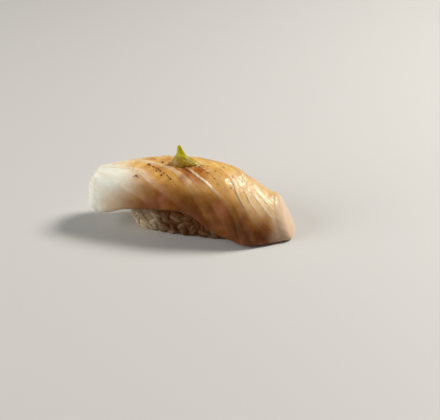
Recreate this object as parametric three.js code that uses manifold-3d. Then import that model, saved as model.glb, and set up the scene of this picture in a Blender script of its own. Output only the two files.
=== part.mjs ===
// Black cod nigiri: a thick, lightly seared slice of black cod draped over a pressed block of
// sushi rice, with a small dab of green citrus-pepper paste on its crown.
//
// Millimetres, +Z up. X runs along the slice, from its overhanging end (-X) to the end that
// droops to the table (+X); -Y is the front. The origin is at the bottom centre of the whole.
import * as THREE from "three";
import { mergeVertices } from "three/addons/utils/BufferGeometryUtils.js";
import Module from "manifold-3d";

const wasm = await Module();
wasm.setup();

// ---- driving dimensions ----------------------------------------------------------------------
const SLICE_LENGTH = 81.8; // the slice of fish, end to end
const SLICE_HALF_WIDTH = 14.5; // from the ridge to the widest front edge
const CROWN_HEIGHT = 27.5; // top of the slice above the table
const SLICE_THICKNESS = 10; // at the crown, over the rice
const LIP_SHARE = 0.3; // of the reach from the ridge: the thickness of the edges that hang down
const RICE_LENGTH = 51; // the block over its grains, at its waist
const RICE_WIDTH = 25;
const GRAIN = { length: 6.8, width: 2.9, thickness: 2.4 }; // one cooked grain
const DAB = { length: 9.5, width: 6, height: 7.6 }; // the paste, above the fish
const GAP = 0.3; // clearance between the pieces where they touch

const HALF = SLICE_LENGTH / 2;

// ---- helpers -----------------------------------------------------------------------------------
// A smooth function through [x, value] pairs: cubic pieces whose slopes come from their neighbours.
function curveThrough(points) {
  const slope = (i) => {
    const a = points[Math.max(i - 1, 0)];
    const b = points[Math.min(i + 1, points.length - 1)];
    return (b[1] - a[1]) / (b[0] - a[0]);
  };
  return (x) => {
    const last = points.length - 2;
    let i = 0;
    while (i < last && x > points[i + 1][0]) i += 1;
    const [x0, v0] = points[i];
    const [x1, v1] = points[i + 1];
    const h = x1 - x0;
    const t = THREE.MathUtils.clamp((x - x0) / h, 0, 1);
    const bend0 = slope(i) * h * t * (1 - t) ** 2;
    const bend1 = slope(i + 1) * h * t * t * (1 - t);
    return v0 + (v1 - v0) * t * t * (3 - 2 * t) + bend0 - bend1;
  };
}

// A repeatable stream of numbers from 0 to 1.
function seeded(seed) {
  let state = seed;
  return () => {
    state = (Math.imul(state, 1664525) + 1013904223) >>> 0;
    return state / 4294967296;
  };
}

// A closed three.js geometry as a solid that can be joined and cut.
function solidFrom(geometry) {
  const bare = geometry.clone();
  bare.deleteAttribute("normal");
  bare.deleteAttribute("uv");
  const merged = mergeVertices(bare, 1e-4);
  return new wasm.Manifold(
    new wasm.Mesh({
      numProp: 3,
      vertProperties: new Float32Array(merged.attributes.position.array),
      triVerts: new Uint32Array(merged.index.array),
    }),
  );
}

// A solid back as a three.js geometry.
function geometryFrom(solid) {
  const mesh = solid.getMesh();
  const geometry = new THREE.BufferGeometry();
  geometry.setAttribute("position", new THREE.BufferAttribute(mesh.vertProperties, 3));
  geometry.setIndex(new THREE.BufferAttribute(mesh.triVerts, 1));
  geometry.computeVertexNormals();
  return geometry;
}

// The largest body of a solid, without the loose scraps that cutting leaves.
function largestBody(solid) {
  return solid.decompose().reduce((a, b) => (a.volume() > b.volume() ? a : b));
}

// A closed surface through rings of points, with a cap on each end ring's centre. The rings run
// clockwise, seen from the last one.
function loft(rings) {
  const count = rings[0].length;
  const centre = (ring) =>
    ring.reduce((sum, p) => sum.add(p), new THREE.Vector3()).divideScalar(count);
  const points = [...rings.flat(), centre(rings[0]), centre(rings.at(-1))];
  const first = rings.length * count;
  const faces = [];
  for (let j = 0; j < count; j += 1) {
    const k = (j + 1) % count;
    for (let i = 0; i + 1 < rings.length; i += 1) {
      const [a, b, c, d] = [i * count + j, i * count + k, (i + 1) * count + k, (i + 1) * count + j];
      faces.push(a, d, b, b, d, c);
    }
    const end = (rings.length - 1) * count;
    faces.push(first, j, k, first + 1, end + k, end + j);
  }
  const geometry = new THREE.BufferGeometry().setFromPoints(points);
  geometry.setIndex(faces);
  return geometry;
}

// ---- the slice of fish -------------------------------------------------------------------------
// Its shape along X: the ridge, the underside over the rice, the two hanging edges, and how far
// the front and the back reach from the ridge line.
const ridgeHeight = curveThrough([
  [-HALF, 21.5],
  [-28, 24.6],
  [-12, 27],
  [0, CROWN_HEIGHT],
  [14, 25.2],
  [27, 19.8],
  [31, 18.3],
  [35, 17],
  [HALF, 14.8],
]);
const ridgeOffset = curveThrough([
  [-HALF, -1.5],
  [-15, 0],
  [15, 0.5],
  [HALF, 2.5],
]);
const undersideHeight = curveThrough([
  [-HALF, 7.4],
  [-31, 10],
  [-25, 14],
  [-12, CROWN_HEIGHT - SLICE_THICKNESS - 0.5],
  [2, CROWN_HEIGHT - SLICE_THICKNESS],
  [14, 15],
  [25, 7],
  [31, 1.2],
  [HALF, 0.8],
]);
const frontEdgeHeight = curveThrough([
  [-HALF, 6.4],
  [-33, 7.8],
  [-26, 10.2],
  [-16, 11.6],
  [-6, 12.5],
  [0, 11.8],
  [5, 8.8],
  [10, 5.4],
  [16, 2.9],
  [24, 0.5],
  [HALF, 0.4],
]);
const backEdgeHeight = curveThrough([
  [-HALF, 7.5],
  [-26, 10],
  [-8, 10.5],
  [8, 8],
  [20, 3],
  [29, 0.6],
  [HALF, 0.4],
]);
const frontReach = curveThrough([
  [-HALF, 8.8],
  [-28, 11.5],
  [-5, SLICE_HALF_WIDTH],
  [18, 16.4],
  [26, 16.4],
  [34, 13.6],
  [HALF, 8.8],
]);
const backReach = curveThrough([
  [-HALF, 5],
  [-30, 9],
  [-12, 12.5],
  [10, 13.5],
  [26, 13.2],
  [35, 10.2],
  [HALF, 5.6],
]);
// How square the shoulders are: 1 is a half ellipse, less is squarer.
const boxiness = curveThrough([
  [-HALF, 0.7],
  [0, 0.8],
  [24, 0.95],
  [HALF, 1],
]);
const END_LEAN = 0.47; // the right end's cut leans inwards by this much of its height
const END_BULGE = 0.022; // and is rounded as seen from above, about its foremost point
const END_TIP_Y = -1;
const LIP_ROUNDING = 2; // height of the rounded bottom of each hanging edge

const powered = (value, power) => Math.sign(value) * Math.abs(value) ** power;
const drawnBack = (p) => {
  const back = END_LEAN * p.z + END_BULGE * (p.y - END_TIP_Y) ** 2;
  return p.x - back * THREE.MathUtils.smoothstep(p.x, 14, HALF);
};

const reachAt = (x, side) => (side < 0 ? frontReach(x) : backReach(x));
const edgeHeightAt = (x, side) => (side < 0 ? frontEdgeHeight(x) : backEdgeHeight(x));

// A point of an arch across the slice at x, from the front (side -1) over its top to the back (1).
function arch(x, side, top, reach, lift) {
  const angle = (side * Math.PI) / 2;
  const low = edgeHeightAt(x, side) + lift;
  const rise = Math.max(top - low, 0.2);
  const y = ridgeOffset(x) + reach * powered(Math.sin(angle), boxiness(x));
  return new THREE.Vector3(x, y, low + rise * Math.max(Math.cos(angle), 0) ** boxiness(x));
}

// Flakes: the muscle layers cross the slice on a slant, each a low bulge that ends in a step.
const FLAKE_PITCH = 8.5;
const FLAKE_DEPTH = 0.55;
const HALF_ARC = 18; // from the ridge over the surface to an edge, about
function flakeRelief(x, along) {
  const level = x - 1.3 * along + 0.02 * along * along;
  const phase = level / FLAKE_PITCH + 0.3 * Math.sin(level / 11);
  const share = phase - Math.floor(phase);
  return FLAKE_DEPTH * (Math.min(share / 0.25, 1) * (1 - 0.7 * share) - 0.5);
}

const LEFT_RIM = 4; // radii of the rounded rims of the cut ends
const RIGHT_RIM = 2.6;

// The rings of the loft slant with the flakes over the middle of the slice: the front leads.
const RING_SLANT = 14;
const SLANTED_LENGTH = SLICE_LENGTH - 2 * LEFT_RIM;
const slanted = (x, side) =>
  x - RING_SLANT * side * Math.max(Math.cos((Math.PI * x) / SLANTED_LENGTH), 0);

const OUTER_POINTS = 24;
const INNER_POINTS = 9;

// The closed ring of the slice at x. grow swells it, for cutting room around it.
function section(x, grow = 0) {
  const outer = [];
  const step = 2 / (OUTER_POINTS - 1);
  for (let i = 0; i < OUTER_POINTS; i += 1) {
    const side = -1 + i * step;
    const at = slanted(x, side);
    outer.push(arch(at, side, ridgeHeight(at), reachAt(at, side), LIP_ROUNDING));
  }
  // Each point moves along the outline's normal by the relief of the flakes.
  const relieved = outer.map((p, i) => {
    const before = outer[Math.max(i - 1, 0)];
    const after = outer[Math.min(i + 1, OUTER_POINTS - 1)];
    const normal = new THREE.Vector3(0, before.z - after.z, after.y - before.y).normalize();
    const side = -1 + i * step;
    return p.clone().addScaledVector(normal, flakeRelief(p.x, -side * HALF_ARC) + grow);
  });
  const inner = [];
  for (let i = 0; i < INNER_POINTS; i += 1) {
    const side = 1 - (2 * i) / (INNER_POINTS - 1);
    const at = slanted(x, side);
    const reach = reachAt(at, side) * (1 - LIP_SHARE) - grow;
    inner.push(arch(at, side, undersideHeight(at) - grow, reach, LIP_ROUNDING / 2 - grow));
  }
  const lip = (side) => {
    const at = slanted(x, side);
    const y = ridgeOffset(at) + side * reachAt(at, side) * (1 - LIP_SHARE / 2);
    return new THREE.Vector3(at, y, edgeHeightAt(at, side) - grow);
  };
  return [...relieved, lip(1), ...inner, lip(-1)];
}

const STATIONS = 60;
const RIM_ANGLES = [30, 60, 90];
const FACE_LEVEL = 0.28; // a cut end closes on a point this low, so that its underside stays level

// Rings round the rim of a cut end and in to its middle, from the last full ring outwards.
function endRings(ring, rim, direction) {
  const bounds = new THREE.Box3().setFromPoints(ring);
  const middle = bounds.getCenter(new THREE.Vector3());
  middle.z = THREE.MathUtils.lerp(bounds.min.z, bounds.max.z, FACE_LEVEL);
  const radius = ring.reduce((sum, p) => sum + p.distanceTo(middle), 0) / ring.length;
  const rings = RIM_ANGLES.map((degrees) => {
    const angle = THREE.MathUtils.degToRad(degrees);
    const share = 1 - (rim / radius) * (1 - Math.cos(angle));
    return ring.map((p) => {
      const moved = middle.clone().lerp(p, share);
      return moved.setX(p.x + direction * rim * Math.sin(angle));
    });
  });
  const face = rings.at(-1);
  middle.x = face[0].x;
  for (const share of [0.66, 0.33]) rings.push(face.map((p) => middle.clone().lerp(p, share)));
  return rings;
}

function sliceSolid(grow = 0) {
  const rings = [];
  const start = -HALF + LEFT_RIM - grow;
  const full = HALF - RIGHT_RIM + grow - start;
  for (let i = 0; i <= STATIONS; i += 1) rings.push(section(start + (i * full) / STATIONS, grow));
  rings.unshift(...endRings(rings[0], LEFT_RIM, -1).reverse());
  rings.push(...endRings(rings.at(-1), RIGHT_RIM, 1));
  rings.flat().forEach((p) => p.setX(drawnBack(p)));
  return solidFrom(loft(rings));
}

// ---- the rice --------------------------------------------------------------------------------
// The block is a rounded bale, widest at its waist: [height, share of its full size].
const RICE_CENTRE_X = -0.7;
const RICE_SQUARENESS = 2.8; // 2 is an ellipse seen from above, more is squarer
const RICE_TAPER = 0.006; // how much wider it grows for each millimetre towards +X
const lengthShare = curveThrough([
  [0, 0.93],
  [3, 0.98],
  [8.5, 1],
  [14, 0.95],
  [18, 0.8],
]);
const widthShare = curveThrough([
  [0, 0.8],
  [3, 0.92],
  [8.5, 1],
  [14, 0.95],
  [18, 0.8],
]);

// A point of the bare core at a turn about Z and a height.
function corePoint(turn, z) {
  const power = 2 / RICE_SQUARENESS;
  const halfLength = (RICE_LENGTH - GRAIN.thickness) / 2;
  const halfWidth = (RICE_WIDTH - GRAIN.thickness) / 2;
  const x = halfLength * lengthShare(z) * powered(Math.cos(turn), power);
  const y = halfWidth * widthShare(z) * powered(Math.sin(turn), power) * (1 + RICE_TAPER * x);
  return new THREE.Vector3(RICE_CENTRE_X + x, y, z);
}

function coreSolid() {
  const rings = [];
  for (const z of [18, 15, 12, 9, 6, 3, 1.5, 0]) {
    const ring = [];
    for (let j = 0; j < 40; j += 1) ring.push(corePoint((j * Math.PI) / 20, z));
    rings.push(ring);
  }
  return solidFrom(loft(rings));
}

// The turns about Z of points evenly spaced around the core at a height.
function evenTurns(z, spacing, start) {
  const turns = [];
  let gone = start * spacing;
  let last = corePoint(0, z);
  for (let i = 1; i <= 720; i += 1) {
    const turn = (i * Math.PI) / 360;
    const next = corePoint(turn, z);
    gone += next.distanceTo(last);
    last = next;
    if (gone < spacing) continue;
    gone -= spacing;
    turns.push(turn);
  }
  return turns;
}

// One grain lying on the core, turned by tilt from level, with its lower half sunk in.
function grainSolid(turn, z, tilt, size) {
  const at = corePoint(turn, z);
  const along = corePoint(turn + 0.02, z).sub(corePoint(turn - 0.02, z)).normalize();
  const rise = corePoint(turn, z + 0.5).sub(corePoint(turn, z - 0.5)).normalize();
  const out = along.clone().cross(rise).normalize();
  const long = along.multiplyScalar(Math.cos(tilt)).addScaledVector(rise, Math.sin(tilt)).normalize();
  const across = out.clone().cross(long).normalize();
  const geometry = new THREE.OctahedronGeometry(1, 1);
  geometry.scale((GRAIN.length * size) / 2, (GRAIN.width * size) / 2, GRAIN.thickness / 2);
  geometry.applyMatrix4(new THREE.Matrix4().makeBasis(long, across, out).setPosition(at));
  return solidFrom(geometry);
}

const GRAIN_ROW = 2.5; // height between the rows of grains
const GRAIN_SPACING = 5.4; // along a row

function riceSolid() {
  const random = seeded(27);
  const clear = sliceSolid(GAP);
  const pieces = [coreSolid().subtract(clear)];
  for (let row = 0; row < 6; row += 1) {
    const level = 1.1 + row * GRAIN_ROW;
    for (const turn of evenTurns(level, GRAIN_SPACING, random())) {
      const z = level + (random() - 0.5) * 1.4;
      const tilt = (random() - 0.5) * 2.4;
      const size = 0.86 + 0.24 * random();
      // A grain that would reach into the fish is laid lower and more level, or left out.
      const tries = [0, 0.5, 1].map((t) => grainSolid(turn, z - 1.6 * t, tilt * (1 - t), size));
      const grain = tries.find((solid) => solid.intersect(clear).isEmpty());
      if (grain) pieces.push(grain);
    }
  }
  const above = new THREE.BoxGeometry(RICE_LENGTH * 2, RICE_WIDTH * 2, 40).translate(0, 0, 20);
  return largestBody(wasm.Manifold.union(pieces).intersect(solidFrom(above)));
}

// ---- the dab of paste ----------------------------------------------------------------------------
// A dollop with a peak that leans to the left and back: [share of its height, share of its
// radius, shift to the left in millimetres].
const DAB_AT = { x: -3.8, y: -1.1 };
const DAB_PROFILE = [
  [-0.25, 0.92, 0],
  [-0.1, 1, 0],
  [0.06, 0.98, 0],
  [0.16, 0.88, 0.4],
  [0.26, 0.72, 0.75],
  [0.36, 0.55, 0.9],
  [0.47, 0.4, 1.1],
  [0.58, 0.28, 1.5],
  [0.72, 0.235, 1.65],
  [0.86, 0.19, 1.8],
  [0.96, 0.12, 1.9],
  [1, 0.03, 1.9],
];

function dabSolid() {
  const crown = ridgeHeight(DAB_AT.x);
  const rings = DAB_PROFILE.map(([high, wide, shift]) => {
    const ring = [];
    for (let j = 0; j < 18; j += 1) {
      const turn = (j * Math.PI) / 9;
      const x = DAB_AT.x - shift + (DAB.length / 2) * wide * Math.cos(turn);
      const y = DAB_AT.y + 0.4 * shift + (DAB.width / 2) * wide * Math.sin(turn);
      ring.push(new THREE.Vector3(x, y, crown + DAB.height * high));
    }
    return ring;
  });
  return largestBody(solidFrom(loft(rings.reverse())).subtract(sliceSolid(GAP)));
}

// ---- assembly ----------------------------------------------------------------------------------
function mesh(name, solid, material) {
  const made = new THREE.Mesh(geometryFrom(solid), new THREE.MeshStandardMaterial(material));
  made.name = name;
  return made;
}

const nigiri = new THREE.Group();
nigiri.name = "nigiri";
nigiri.add(
  mesh("rice_block", riceSolid(), { color: 0xefe6d2, roughness: 0.55, metalness: 0 }),
  mesh("fish_slice", sliceSolid(), { color: 0xe0b27c, roughness: 0.35, metalness: 0 }),
  mesh("paste_dab", dabSolid(), { color: 0x9a9a24, roughness: 0.5, metalness: 0 }),
);

// The origin goes to the bottom centre.
const box = new THREE.Box3().setFromObject(nigiri);
const centre = box.getCenter(new THREE.Vector3());
for (const child of nigiri.children) child.geometry.translate(-centre.x, -centre.y, -box.min.z);

export default nigiri;
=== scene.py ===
"""Black cod nigiri: a seared, glazed slice of fish over a block of sushi rice, with a dab of paste.

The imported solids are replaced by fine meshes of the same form: the slice with its flakes, the rice
as separate grains over a core, and the lumpy dab. Shapes are worked out in millimetres and scaled
to metres when a mesh is made. X runs along the slice, -Y is the front, Z is up. A place on the
slice is given by its X and by "along": the distance over the top from the ridge, positive
towards the front.
"""

import math
from types import SimpleNamespace

import bpy
import numpy as np
from mathutils import Matrix, Vector


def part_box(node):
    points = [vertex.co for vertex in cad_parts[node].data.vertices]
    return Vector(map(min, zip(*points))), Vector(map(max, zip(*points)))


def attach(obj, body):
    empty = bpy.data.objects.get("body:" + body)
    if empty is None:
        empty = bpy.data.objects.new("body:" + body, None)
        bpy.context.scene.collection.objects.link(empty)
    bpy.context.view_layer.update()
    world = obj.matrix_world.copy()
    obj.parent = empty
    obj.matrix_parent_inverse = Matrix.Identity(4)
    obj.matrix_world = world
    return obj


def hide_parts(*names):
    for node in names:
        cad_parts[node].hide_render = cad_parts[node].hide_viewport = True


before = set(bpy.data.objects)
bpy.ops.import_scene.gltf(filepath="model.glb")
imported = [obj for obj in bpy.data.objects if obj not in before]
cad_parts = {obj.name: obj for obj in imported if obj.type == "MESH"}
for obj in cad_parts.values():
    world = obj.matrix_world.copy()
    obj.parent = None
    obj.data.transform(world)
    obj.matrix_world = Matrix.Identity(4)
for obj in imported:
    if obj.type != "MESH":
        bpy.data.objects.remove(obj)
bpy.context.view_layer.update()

MM = 0.001  # metres in a millimetre
NOISE_SEED, SPECK_SEED, GRAIN_SEED = 11, 5, 27

# ---- driving dimensions, millimetres ----
SLICE_LENGTH = 81.8
HALF = SLICE_LENGTH / 2
SLICE_HALF_WIDTH = 14.5
CROWN_HEIGHT = 27.5
SLICE_THICKNESS = 10
LIP_SHARE = 0.3  # of the reach from the ridge: the thickness of the hanging edges
LIP_ROUNDING = 2
RICE_LENGTH = 51
RICE_WIDTH = 25
GRAIN_LENGTH = 5.8
GRAIN_WIDTH = 3
GRAIN_THICKNESS = 2.4


# ---- helpers ----
def curve_through(points):
    """A smooth function through (x, value) pairs, for numbers or arrays."""
    xs, vs = np.array(points, dtype=float).T
    last = len(xs) - 1
    ahead = np.minimum(np.arange(last + 1) + 1, last)
    behind = np.maximum(np.arange(last + 1) - 1, 0)
    slopes = (vs[ahead] - vs[behind]) / (xs[ahead] - xs[behind])

    def value(x):
        x = np.asarray(x, dtype=float)
        i = np.clip(np.searchsorted(xs, x) - 1, 0, last - 1)
        h = xs[i + 1] - xs[i]
        t = np.clip((x - xs[i]) / h, 0, 1)
        bend = slopes[i] * h * t * (1 - t) ** 2 - slopes[i + 1] * h * t * t * (1 - t)
        return vs[i] + (vs[i + 1] - vs[i]) * t * t * (3 - 2 * t) + bend

    return value


def rise(x, low, high):
    """0 up to low, 1 from high on, and a smooth rise between them."""
    t = np.clip((x - low) / (high - low), 0, 1)
    return t * t * (3 - 2 * t)


def fall(x, low, high):
    """1 up to low, 0 from high on, and a smooth fall between them."""
    return 1 - rise(x, low, high)


def mix(a, b, t):
    """a where t is 0, b where t is 1."""
    return a + (b - a) * t


def bump(distance, width):
    """1 at distance 0, falling smoothly to nothing over a few widths."""
    return np.exp(-((distance / width) ** 2))


LATTICE = 32  # cells before the noise repeats
OCTAVE_SHIFT = 7.3  # cells, so that the lattices of the octaves don't line up
NOISE_TABLE = np.random.default_rng(NOISE_SEED).random((LATTICE, LATTICE, LATTICE))


def noise(points, size, octaves=1):
    """Smooth noise from -1 to 1 at an (..., 3) array of points, with lumps of about size."""
    total = np.zeros(points.shape[:-1])
    weight = 0
    for octave in range(octaves):
        strength = 0.5**octave
        p = points * (2**octave / size) + OCTAVE_SHIFT * octave
        cell = np.floor(p).astype(int)
        t = p - cell
        t = t * t * (3 - 2 * t)
        value = np.zeros_like(total)
        for corner in np.ndindex(2, 2, 2):
            share = np.ones_like(total)
            for axis in range(3):
                share = share * (t[..., axis] if corner[axis] else 1 - t[..., axis])
            i, j, k = [(cell[..., axis] + corner[axis]) % LATTICE for axis in range(3)]
            value += share * NOISE_TABLE[i, j, k]
        total += strength * (2 * value - 1)
        weight += strength
    return total / weight


def stacked(*parts):
    """Arrays and numbers as the last axis of one array."""
    return np.stack(np.broadcast_arrays(*parts), axis=-1)


def add_piece(name, points, faces, material, slot, node=None, **marks):
    """A smooth piece from points in millimetres, riding on the part's one body.

    Each mark is one number per point, which the material reads by the mark's name.
    """
    mesh = bpy.data.meshes.new(name)
    mesh.from_pydata((points * MM).tolist(), [], faces.tolist())
    mesh.shade_smooth()
    mesh.materials.append(material)
    for mark, values in marks.items():
        attribute = mesh.attributes.new(mark, "FLOAT", "POINT")
        attribute.data.foreach_set("value", np.asarray(values, dtype=np.float32).ravel())
    piece = bpy.data.objects.new(name, mesh)
    bpy.context.collection.objects.link(piece)
    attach(piece, "root")
    if node:
        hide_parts(node)


def tube_faces(rows, columns):
    """Quads between rows of points that each run round a closed ring of columns."""
    i, j = np.meshgrid(np.arange(rows - 1), np.arange(columns), indexing="ij")
    k = (j + 1) % columns
    quads = stacked(i * columns + j, (i + 1) * columns + j, (i + 1) * columns + k, i * columns + k)
    return quads.reshape(-1, 4)


# ---- the slice of fish: shape ----
# Curves along X: heights over the table, the ridge's Y, and reaches from the ridge to the edges.
ridge_height = curve_through([
    (-HALF, 21.5), (-28, 24.6), (-12, 27), (0, CROWN_HEIGHT), (14, 25.2), (27, 19.8),
    (31, 18.3), (35, 17), (HALF, 14.8),
])
ridge_offset = curve_through([(-HALF, -1.5), (-15, 0), (15, 0.5), (HALF, 2.5)])
underside_height = curve_through([
    (-HALF, 7.4), (-31, 10), (-25, 14), (-12, CROWN_HEIGHT - SLICE_THICKNESS - 0.5),
    (2, CROWN_HEIGHT - SLICE_THICKNESS), (14, 15), (25, 7), (31, 1.2), (HALF, 0.8),
])
front_edge_height = curve_through([
    (-HALF, 6.4), (-33, 7.8), (-26, 10.2), (-16, 11.6), (-6, 12.5), (0, 11.8), (5, 8.8),
    (10, 5.4), (16, 2.9), (24, 0.5), (HALF, 0.4),
])
back_edge_height = curve_through([
    (-HALF, 7.5), (-26, 10), (-8, 10.5), (8, 8), (20, 3), (29, 0.6), (HALF, 0.4),
])
front_reach = curve_through([
    (-HALF, 8.8), (-28, 11.5), (-5, SLICE_HALF_WIDTH), (18, 16.4), (26, 16.4), (34, 13.6),
    (HALF, 8.8),
])
back_reach = curve_through([
    (-HALF, 5), (-30, 9), (-12, 12.5), (10, 13.5), (26, 13.2), (35, 10.2), (HALF, 5.6),
])
# The section's arch is an ellipse where this is 1, and squarer where it is less.
boxiness = curve_through([(-HALF, 0.7), (0, 0.8), (24, 0.95), (HALF, 1)])
END_LEAN = 0.47  # how far the right end leans back for each millimetre of height
END_BULGE = 0.022  # how far it curves back, times the square of the distance from its tip
END_TIP_Y = -1
END_START = 14  # X where the lean begins
LEFT_RIM = 4  # radii of the rims of the cut ends
RIGHT_RIM = 2.6
LEAST_CLIMB = 0.05  # of an arch's top over its edges
HOLLOW_FADE = (3, 9)  # distances from a cut end between which the hollow underneath appears

# Points round each ring: over the outside, round the bottom of each lip, and along the underside.
OUTER, LIP, INNER = 200, 8, 54
COLUMNS = OUTER + 2 * LIP + INNER
ARCH_SAMPLES = 801  # samples of the outside, from which its even points are taken
STATIONS = 284  # rings between the rims of the cut ends
RIM_RINGS = 14  # rings round the rim of a cut end
CAP_RINGS = 30  # the same, with those from the rim in to the face's middle
FACE_LEVEL = 0.28  # a cut end closes on a point this low, so that its underside stays level


def reach_at(x, side):
    return np.where(side < 0, front_reach(x), back_reach(x))


def edge_height_at(x, side):
    return np.where(side < 0, front_edge_height(x), back_edge_height(x))


def arch(x, side, top, reach, lift):
    """Y and Z of an arch across the slice, from the front (side -1) over its top to the back."""
    turn = side * math.pi / 2
    power = boxiness(x)
    low = edge_height_at(x, side) + lift
    climb = np.maximum(top - low, LEAST_CLIMB)
    y = ridge_offset(x) + reach * np.sign(side) * np.abs(np.sin(turn)) ** power
    z = low + climb * np.maximum(np.cos(turn), 0) ** power
    return y, z


def inner_rounding(x):
    """How high the inside of a lip rises to the underside, which runs flat into the cut ends."""
    return LIP_ROUNDING / 2 * rise(HALF - np.abs(x), *HOLLOW_FADE)


def lip_bottom(x, side):
    """Y and Z of the rounded bottom of a hanging edge, from its outside to its inside."""
    turn = np.linspace(0, math.pi, LIP + 2)[1:-1][None, :]
    sides = np.full_like(x, side)
    reach = reach_at(x, sides)
    across = reach * (1 - LIP_SHARE / 2) + reach * (LIP_SHARE / 2) * np.cos(turn)
    height = np.where(turn < math.pi / 2, LIP_ROUNDING, inner_rounding(x))
    return ridge_offset(x) + side * across, edge_height_at(x, sides) + height * (1 - np.sin(turn))


def slice_rings(xs):
    """Rings of the slice at each x: their points, and each point's distance along."""
    x = xs[:, None]
    fine = np.linspace(-1, 1, ARCH_SAMPLES)[None, :]
    y, z = arch(x, fine, ridge_height(x), reach_at(x, fine), LIP_ROUNDING)
    steps = np.hypot(np.diff(y), np.diff(z))
    length = np.concatenate([np.zeros_like(x), np.cumsum(steps, axis=1)], axis=1)
    rows = []
    for i in range(len(xs)):
        at = np.linspace(0, length[i, -1], OUTER)
        row_y, row_z = np.interp(at, length[i], y[i]), np.interp(at, length[i], z[i])
        rows.append((row_y, row_z, length[i, ARCH_SAMPLES // 2] - at))
    outer_y, outer_z, outer_along = np.array(rows).transpose(1, 0, 2)
    sides = np.linspace(1, -1, INNER)[None, :]
    inner_reach = reach_at(x, sides) * (1 - LIP_SHARE)
    inner = arch(x, sides, underside_height(x), inner_reach, inner_rounding(x))
    front = [part[:, ::-1] for part in lip_bottom(x, -1)]
    parts = zip((outer_y, outer_z), lip_bottom(x, 1), inner, front)
    ys, zs = [np.concatenate(part, axis=1) for part in parts]
    under = np.linspace(0, 1, COLUMNS - OUTER)[None, :]
    inner_along = mix(outer_along[:, -1:], outer_along[:, :1], under)
    return stacked(x, ys, zs), np.concatenate([outer_along, inner_along], axis=1)


def end_cap(ring, rim, direction):
    """Rings from a cut end's last full section round its rim and in to the face's middle."""
    low, high = ring.min(axis=0), ring.max(axis=0)
    middle = (low + high) / 2
    middle[2] = mix(low[2], high[2], FACE_LEVEL)
    out = ring - middle
    radius = np.linalg.norm(out, axis=1).mean()
    rows = []
    for step in range(1, CAP_RINGS + 1):
        turn = math.pi / 2 * min(step / RIM_RINGS, 1)
        inward = max(CAP_RINGS - step, 0) / (CAP_RINGS - RIM_RINGS)
        share = (1 - rim / radius * (1 - math.cos(turn))) * min(inward, 1)
        row = middle + out * share
        row[:, 0] = ring[:, 0] + direction * rim * math.sin(turn)
        rows.append(row)
    return np.array(rows)


def slice_grid():
    """Rows of rings with the two capped ends: points, along, and how far in on a cap each is."""
    xs = np.linspace(-HALF + LEFT_RIM, HALF - RIGHT_RIM, STATIONS)
    points, along = slice_rings(xs)
    left = end_cap(points[0], LEFT_RIM, -1)[::-1]
    right = end_cap(points[-1], RIGHT_RIM, 1)
    inward = np.tile(np.linspace(0, 1, CAP_RINGS)[:, None], COLUMNS)
    left_along = np.repeat(along[:1], CAP_RINGS, axis=0)
    right_along = np.repeat(along[-1:], CAP_RINGS, axis=0)
    return (
        np.concatenate([left, points, right]),
        np.concatenate([left_along, along, right_along]),
        np.concatenate([inward[::-1], 0 * along, inward]),
    )


# ---- the slice of fish: flakes ----
# Each line between two flakes is a curve over the surface: its X at these distances along, how
# strongly it shows on the top and low on the front, and how soft it is.
LINE_STOPS = (-22, -8, 0, 5, 10, 15, 20, 27)
FLAKE_LINES = [
    ((-84, -62, -50, -44, -38, -33, -28, -21), 0.35, 0.35, 1.6),
    ((-73, -54, -43, -36, -29, -22.5, -16, -8), 0.45, 0.4, 1.6),
    ((-66, -48, -37, -23.5, -17.5, -11.8, -5.4, 1), 0.55, 0.35, 1.5),
    ((-48, -31, -20.5, -10, -4.5, 0, 4.5, 9.5), 0.95, 0.35, 1.7),
    ((-38, -21.5, -11.8, -6.8, -0.2, 5.5, 10.5, 15), 0.25, 0.1, 1),
    ((-32, -15, -6.5, -2.8, 5.2, 12.2, 18.2, 22), 1, 0.4, 0.7),
    ((-24, -6, 1.5, 7, 12.4, 18.5, 24, 29), 0.15, 0.1, 1.2),
    ((-17, -1, 9, 14.4, 19, 26.5, 32, 36), 1, 0.2, 0.8),
    ((-9, 6, 15, 21, 27.5, 34.5, 40, 44), 0.6, 0.05, 0.8),
    ((-3, 12, 21, 27.5, 34.5, 41, 46, 50), 0.9, 0.05, 0.7),
    ((4, 18, 27, 33, 40, 46, 51, 55), 0.5, 0.05, 0.8),
    ((12, 25, 34, 39, 46, 52, 57, 61), 0.4, 0.05, 0.8),
    ((20, 33, 41, 46, 53, 59, 64, 68), 0.3, 0.05, 1),
    ((30, 42, 50, 55, 62, 68, 73, 77), 0.3, 0.05, 1.2),
    ((42, 52, 60, 65, 72, 78, 83, 87), 0.3, 0.05, 1.2),
]
BACK_SLOPE = 1.3  # change of the lines' X with the distance along, behind the first stop
LINE_SLANT = 1.6  # the gap between two lines along X, over the gap square to them
FAR = 10  # a distance that is clear of any line
# The cut end at the right: X of the rim of its pale face, at distances along.
end_rim = curve_through([
    (-20, 38), (-6, 41), (1, 41), (4, 40.4), (7, 39.5), (10, 38.8), (16, 37.3), (24, 34),
])

FLAKE_STEP = 0.42  # how far a flake's edge stands over the end of the flake before it
GROOVE_DEPTH = 0.15
EDGE_LIFT = 0.3  # how far the broken edge of a flake is lifted
BROAD_LUMPS, FINE_LUMPS = 0.3, 0.06
# Where the sear has burnt a flake's edge down, in front of the dab.
WORN_X, WORN_ALONG, WORN_RADIUS = -1.6, 5, 2.6
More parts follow.
